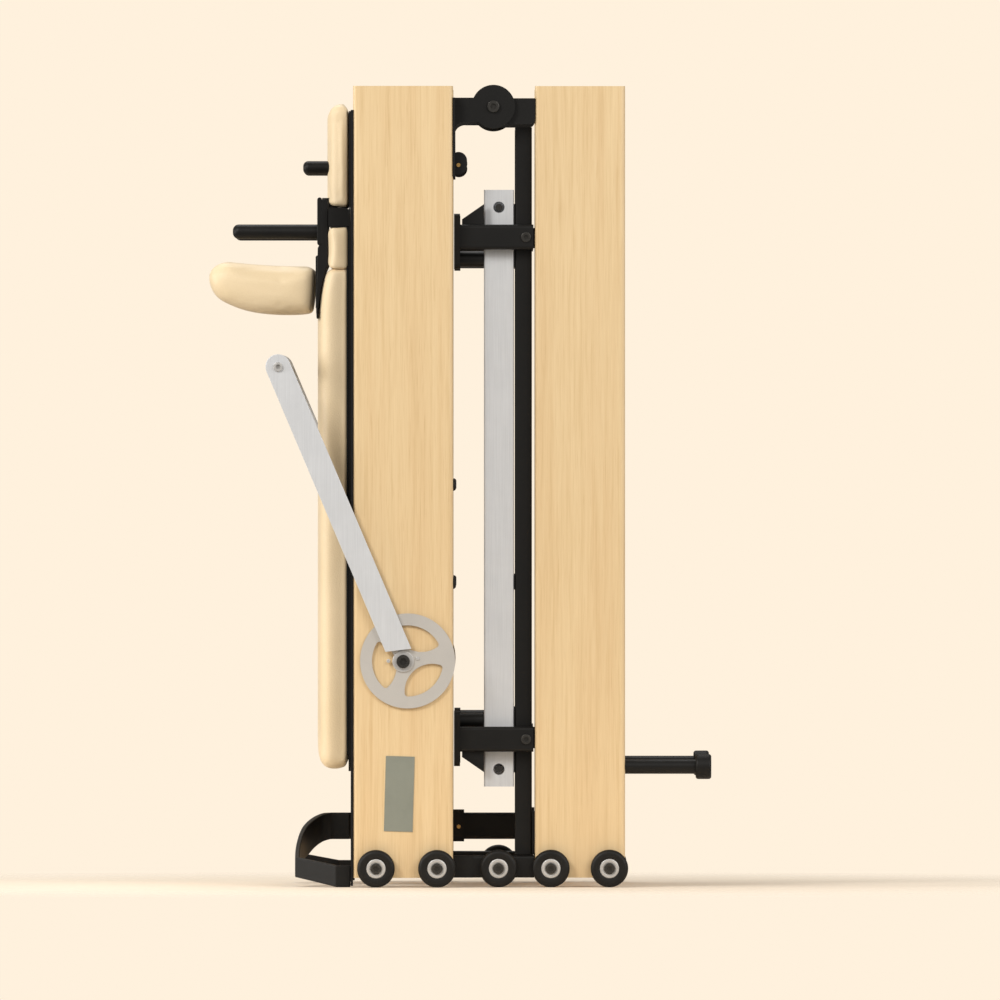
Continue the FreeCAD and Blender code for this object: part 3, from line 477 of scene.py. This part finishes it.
# ---------------------------------------------------------------- cushions
def rounded_block(name, low, high, rims):
    """A block with rounded edges: rims gives (front, back) radii of the upright, low and high edges."""
    mesh = bpy.data.meshes.new(name)
    work = bmesh.new()
    bmesh.ops.create_cube(work, size=1)
    centre, size = (low + high) / 2, high - low
    for vertex in work.verts:
        vertex.co = centre + Vector(vertex.co[axis] * size[axis] for axis in range(3))
    largest = max(max(pair) for pair in rims)
    weight = work.edges.layers.float.new("bevel_weight_edge")
    for edge in work.edges:
        run = edge.verts[1].co - edge.verts[0].co
        middle = (edge.verts[1].co + edge.verts[0].co) / 2
        front, back = rims[0] if abs(run.z) > 1e-6 else rims[1] if middle.z < centre.z else rims[2]
        if abs(run.x) > 1e-6:
            radius = min(front, rims[0][0])
        else:
            radius = front if middle.x < centre.x else back
        edge[weight] = radius / largest
    work.to_mesh(mesh)
    work.free()
    piece = bpy.data.objects.new(name, mesh)
    SCENE.collection.objects.link(piece)
    bevel = piece.modifiers.new("round", "BEVEL")
    bevel.limit_method = "WEIGHT"
    bevel.width = largest * MM
    bevel.segments = 8
    return piece


def remeshed(piece, voxel):
    remesh = piece.modifiers.new("remesh", "REMESH")
    remesh.mode = "VOXEL"
    remesh.voxel_size = voxel
    apply_modifiers(piece)


CLOTH_PRESSURE = 4
CLOTH_FRAMES = 20


def inflate(piece, cap, held):
    """Cloth pass: press the cover outwards, hold the vertices that held(point) picks, cap the swell."""
    rest = [vertex.co.copy() for vertex in piece.data.vertices]
    group = piece.vertex_groups.new(name="held")
    group.add([index for index, point in enumerate(rest) if held(point)], 1.0, "REPLACE")
    cloth = piece.modifiers.new("cloth", "CLOTH")
    cloth.settings.vertex_group_mass = "held"
    cloth.settings.use_pressure = True
    cloth.settings.uniform_pressure_force = CLOTH_PRESSURE
    cloth.settings.effector_weights.gravity = 0
    cloth.settings.quality = 4
    cloth.point_cache.frame_start = 1
    cloth.point_cache.frame_end = CLOTH_FRAMES
    for step in range(1, CLOTH_FRAMES + 1):
        SCENE.frame_set(step)
    swollen = evaluated_copy(piece)
    piece.modifiers.clear()
    SCENE.frame_set(1)
    for vertex, start, target in zip(piece.data.vertices, rest, swollen.vertices):
        move = target.co - start
        if move.length > cap:
            move *= cap / move.length
        vertex.co = start + move
    bpy.data.meshes.remove(swollen)
    piece.vertex_groups.clear()


def finish_cushion(piece, body, node):
    smooth = piece.modifiers.new("smooth", "SMOOTH")
    smooth.factor = 0.5
    smooth.iterations = 2
    subdivide = piece.modifiers.new("subdivide", "SUBSURF")
    subdivide.levels = 1
    subdivide.render_levels = 1
    apply_modifiers(piece)
    piece.data.materials.clear()
    piece.data.materials.append(FINISHES["upholstery"])
    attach(piece, body)
    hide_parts(node)


def flat_cushion(name, node, body, rims, insets, voxel, cap, shape=None):
    """A cushion on a board: a rounded block, remeshed, shaped, then inflated with its back held flat."""
    low, high = (Vector(corner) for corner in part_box(node))
    side, below, above = insets
    back_gap, held_depth = 0.2, 6 * MM
    low += Vector((side, side, below)) * MM
    high -= Vector((back_gap, side, above)) * MM
    piece = rounded_block(name, low, high, rims)
    remeshed(piece, voxel)
    if shape is not None:
        for vertex in piece.data.vertices:
            vertex.co = shape(vertex.co.copy(), low, high)
    inflate(piece, cap, lambda point: point.x > high.x - held_depth)
    finish_cushion(piece, body, node)


def main_pad_shape(point, low, high):
    """The head end slopes back towards the board over its last stretch."""
    slope, lean, curve = 70 * MM, 11 * MM, 1.8
    rise = max(0.0, (point.z - (high.z - slope)) / slope)
    depth = (high.x - point.x) / (high.x - low.x)
    point.x += lean * depth * rise ** curve
    return point


flat_cushion("main_cushion", "main_pad", "carriage", ((20, 6), (20, 18), (12, 2)), (1.3, 0.6, -3.6),
             6 * MM, 2.6 * MM, main_pad_shape)
flat_cushion("neck_cushion", "neck_pad", "carriage", ((10, 3), (4, 1.5), (4, 1.5)), (1.0, -0.8, -0.4),
             4 * MM, 2 * MM)
flat_cushion("headrest_cushion", "headrest_pad", "headrest", ((14, 6), (3, 1.5), (15.4, 14.6)),
             (1.3, 0.2, 0.4), 4 * MM, 2.4 * MM)


def shoulder_outline():
    """Side outline of the shoulder cushion, as points along its seven curves."""
    def bow(start, middle, end, steps):
        control = 2 * Vector(middle) - (Vector(start) + Vector(end)) / 2
        for step in range(steps):
            t = step / steps
            yield Vector(start) * (1 - t) ** 2 + control * 2 * t * (1 - t) + Vector(end) * t ** 2
    spans = [((-378.2, 909.4), (-377.9, 934.0), (-356.0, 946.9), 8),
             ((-356.0, 946.9), (-290.0, 941.0), (-228.0, 939.6), 12),
             ((-228.0, 939.6), (-220.8, 937.0), (-219.3, 929.6), 5),
             ((-219.3, 929.6), (-220.4, 902.0), (-223.4, 877.5), 7),
             ((-223.4, 877.5), (-226.0, 872.0), (-233.0, 870.8), 4),
             ((-233.0, 870.8), (-304.0, 871.0), (-352.0, 884.5), 12),
             ((-352.0, 884.5), (-368.0, 893.5), (-378.2, 909.4), 5)]
    points = []
    for start, middle, end, steps in spans:
        points += list(bow(start, middle, end, steps))
    return [(point.x * MM, point.y * MM) for point in points]


def make_shoulder_cushion(side):
    """Curved shoulder cushion, rounded at both ends, one for each side of the machine."""
    low, high = (Vector(corner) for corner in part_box("shoulder_pads"))
    inner, outer, mount_face = 134 * MM, high.y, -224 * MM
    half_length, half_depth = 82 * MM, 40 * MM
    outline = shoulder_outline()
    count = len(outline)
    rim, steps = 24 * MM, 7
    middle = Vector((sum(x for x, _ in outline) / count, sum(z for _, z in outline) / count))
    turns = [math.pi / 2 * step / steps for step in range(steps + 1)]
    rounding = [(rim * (1 - math.cos(turn)), math.sin(turn)) for turn in turns]
    slices = [(inner + depth, fullness) for depth, fullness in rounding]
    slices += [(outer - depth, fullness) for depth, fullness in reversed(rounding)]
    points, faces = [], []
    for y, fullness in slices:
        margin = rim * (1 - fullness)
        for x, z in outline:
            away = Vector((x, z)) - middle
            scale = Vector((1 - margin / half_length, 1 - margin / half_depth))
            points.append((middle.x + away.x * scale.x, side * y, middle.y + away.y * scale.y))
    for ring in range(len(slices) - 1):
        for index in range(count):
            after = (index + 1) % count
            faces.append((ring * count + index, ring * count + after,
                          (ring + 1) * count + after, (ring + 1) * count + index))
    faces.append(tuple(range(count)))
    faces.append(tuple(reversed(range((len(slices) - 1) * count, len(slices) * count))))
    name = "shoulder_cushion_near" if side < 0 else "shoulder_cushion_far"
    piece = bpy.data.objects.new(name, mesh_from(name, points, faces))
    SCENE.collection.objects.link(piece)
    remeshed(piece, 4 * MM)
    inflate(piece, 2 * MM, lambda point: point.x > mount_face)
    finish_cushion(piece, "carriage", "shoulder_pads")


for cushion_side in (-1, 1):
    make_shoulder_cushion(cushion_side)


def make_base_board():
    """Thin black board behind the main and neck cushions, so no light shows between their corners."""
    main_low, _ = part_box("main_pad")
    _, neck_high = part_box("neck_pad")
    foot_clearance, half_width, softening = 26, 250, 0.4
    back = neck_high[0] * 1000
    front_x, back_x = back - 2.6, back - 0.1
    low_z, high_z = main_low[2] * 1000 + foot_clearance, neck_high[2] * 1000 + 0.3
    board = [(front_x, low_z), (back_x, low_z), (back_x, high_z), (front_x, high_z)]
    mesh = prism("cushion_base_board", board, -half_width, half_width, softening)
    new_piece("cushion_base_board", mesh, "black_metal", "carriage", ["main_pad"])


make_base_board()


# ---------------------------------------------------------------- shoulder brackets and stirrups
def capsule(low_x, high_x, low_z, high_z, steps=8):
    """Outline of an upright plate with half-round ends."""
    radius, middle = (high_x - low_x) / 2, (low_x + high_x) / 2
    return (arc_points((middle, high_z - radius), radius, 0, 180, steps)
            + arc_points((middle, low_z + radius), radius, 180, 360, steps))


def spine_outline():
    """Side outline of the bracket plate: round top, straight back, long tongue down to the pad."""
    top = arc_points((-204.4, 1038.5), 4.8, 0, 180, 8)
    front = [(-209.2, 978), (-212.4, 974.5), (-215.2, 969), (-215.6, 950), (-216.2, 925), (-217.4, 895),
             (-217.6, 872), (-216.8, 862)]
    back = [(-215.2, 862), (-214.8, 876), (-211.6, 898), (-208.0, 918), (-203.6, 934), (-199.9, 943)]
    return top + front + back


def make_shoulder_bracket(side):
    """Rod mount, spine with its tongue, and pad mount of one shoulder rest."""
    label = "near" if side < 0 else "far"
    plates = (("rod_mount", capsule(-215.9, -208.6, 973, 1046), 200, 238, 0.8),
              ("spine", spine_outline(), 132, 238, 1.0),
              ("pad_mount", capsule(-218.4, -212.0, 876, 958), 150, 226, 0.8),
              ("tilt_pin", capsule(-207, -201, 1033, 1039), 105, 133, 0.3))
    for part, outline, inner, outer, bevel in plates:
        low_y, high_y = sorted((side * inner, side * outer))
        name = f"bracket_{part}_{label}"
        new_piece(name, prism(name, outline, low_y, high_y, bevel), "black_metal", "carriage",
                  ["shoulder_brackets"])


def smooth_run(points, steps=6):
    """A smooth curve through the points."""
    run = []
    for index in range(len(points) - 1):
        before = Vector(points[max(index - 1, 0)])
        here, there = Vector(points[index]), Vector(points[index + 1])
        after = Vector(points[min(index + 2, len(points) - 1)])
        for step in range(steps):
            t = step / steps
            run.append(0.5 * (2 * here + (there - before) * t
                              + (2 * before - 5 * here + 4 * there - after) * t ** 2
                              + (3 * here - before - 3 * there + after) * t ** 3))
    return run + [Vector(points[-1])]


def level(table, place):
    """The value of a (place, value) table at a place between its rows."""
    for (low, start), (high, end) in zip(table, table[1:]):
        if place <= high:
            share = max(0.0, (place - low) / (high - low))
            return start + (end - start) * share
    return table[-1][1]


def make_stirrup(side):
    """Flat band: out from the rail's end, folded back and curving up to the centre post."""
    thickness = 7
    run = [Vector((-165.1, -291)), Vector((-186, -291))]
    run += smooth_run([(-246, -247), (-245.5, -200), (-242.5, -147), (-238, -105), (-231, -73), (-222, -48),
                       (-212, -30), (-202, -20.5), (-193, -16.2), (-168, -16.2)])
    lower = [(-310, 0.3), (-290, 0.3), (-246, 15.5), (-147, 31), (-75, 48), (-20, 69.5), (-5, 69.5)]
    upper = [(-310, 33), (-290, 33), (-246, 45), (-147, 73), (-75, 93.5), (-20, 109.5), (-5, 109.8)]
    points, faces = [], []
    for index, here in enumerate(run):
        steps = [here - before for before in run[max(index - 1, 0):index]]
        steps += [after - here for after in run[index + 1:index + 2]]
        normals = [Vector((-step.y, step.x)).normalized() for step in steps]
        mitre = sum(normals[1:], normals[0]).normalized()
        mitre *= thickness / 2 / mitre.dot(normals[0])
        for corner in (here + mitre, here - mitre):
            for table in (lower, upper):
                points.append((corner.x * MM, -side * corner.y * MM, level(table, corner.y) * MM))
    for index in range(len(run) - 1):
        base, ahead = 4 * index, 4 * index + 4
        for first, second in ((0, 1), (1, 3), (3, 2), (2, 0)):
            faces.append((base + first, base + second, ahead + second, ahead + first))
    last = 4 * (len(run) - 1)
    faces += [(0, 1, 3, 2), (last, last + 1, last + 3, last + 2)]
    name = "stirrup_near" if side < 0 else "stirrup_far"
    mesh = softened(name, mesh_from(name, points, faces), 1.6)
    new_piece(name, mesh, "black_metal", "carriage_half", ["foot_stirrups"])


for rest_side in (-1, 1):
    make_shoulder_bracket(rest_side)
    make_stirrup(rest_side)


# ---------------------------------------------------------------- springs
def make_spring(index, centre_y, low, high):
    """Extension spring with slightly open coils and a straight tail at each end."""
    coil_radius, wire_radius, turns, steps_a_turn, sides = 7.6 * MM, 1.3 * MM, 120, 14, 6
    tail, bend_far, bend_near, bend_reach = 14 * MM, 5 * MM, 2 * MM, coil_radius * 0.6
    x = (low.x + high.x) / 2
    bottom, top = low.z + tail, high.z - tail
    path = []
    for step in range(turns * steps_a_turn + 1):
        angle = 2 * math.pi * step / steps_a_turn
        height = bottom + (top - bottom) * step / (turns * steps_a_turn)
        path.append(Vector((x + coil_radius * math.cos(angle),
                            centre_y + coil_radius * math.sin(angle), height)))
    start = [Vector((x, centre_y, low.z)), Vector((x, centre_y, bottom - bend_far)),
             Vector((x + bend_reach, centre_y, bottom - bend_near))]
    end = [Vector((x + bend_reach, centre_y, top + bend_near)), Vector((x, centre_y, top + bend_far)),
           Vector((x, centre_y, high.z))]
    path = start + path + end
    points, faces = [], []
    for place, point in enumerate(path):
        ahead = path[min(place + 1, len(path) - 1)] - path[max(place - 1, 0)]
        side_way = ahead.cross(Vector((0, 0, 1)))
        if side_way.length < 1e-9:
            side_way = Vector((1, 0, 0))
        side_way.normalize()
        other = ahead.cross(side_way).normalized()
        for step in range(sides):
            angle = 2 * math.pi * step / sides
            points.append(point + wire_radius * (math.cos(angle) * side_way + math.sin(angle) * other))
    for place in range(len(path) - 1):
        for step in range(sides):
            after = (step + 1) % sides
            faces.append((place * sides + step, place * sides + after,
                          (place + 1) * sides + after, (place + 1) * sides + step))
    faces.append(tuple(reversed(range(sides))))
    faces.append(tuple(range((len(path) - 1) * sides, len(path) * sides)))
    name = f"spring_{index}"
    piece = bpy.data.objects.new(name, mesh_from(name, points, faces))
    SCENE.collection.objects.link(piece)
    piece.data.materials.append(FINISHES["steel"])
    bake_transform(piece)
    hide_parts("resistance_springs")


spring_low, spring_high = (Vector(corner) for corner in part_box("resistance_springs"))
SPRING_COUNT = 5
spring_edge = (spring_high.x - spring_low.x) / 2
for spring_index in range(SPRING_COUNT):
    share = spring_index / (SPRING_COUNT - 1)
    spring_y = spring_low.y + spring_edge + (spring_high.y - spring_low.y - 2 * spring_edge) * share
    make_spring(spring_index + 1, spring_y, spring_low, spring_high)
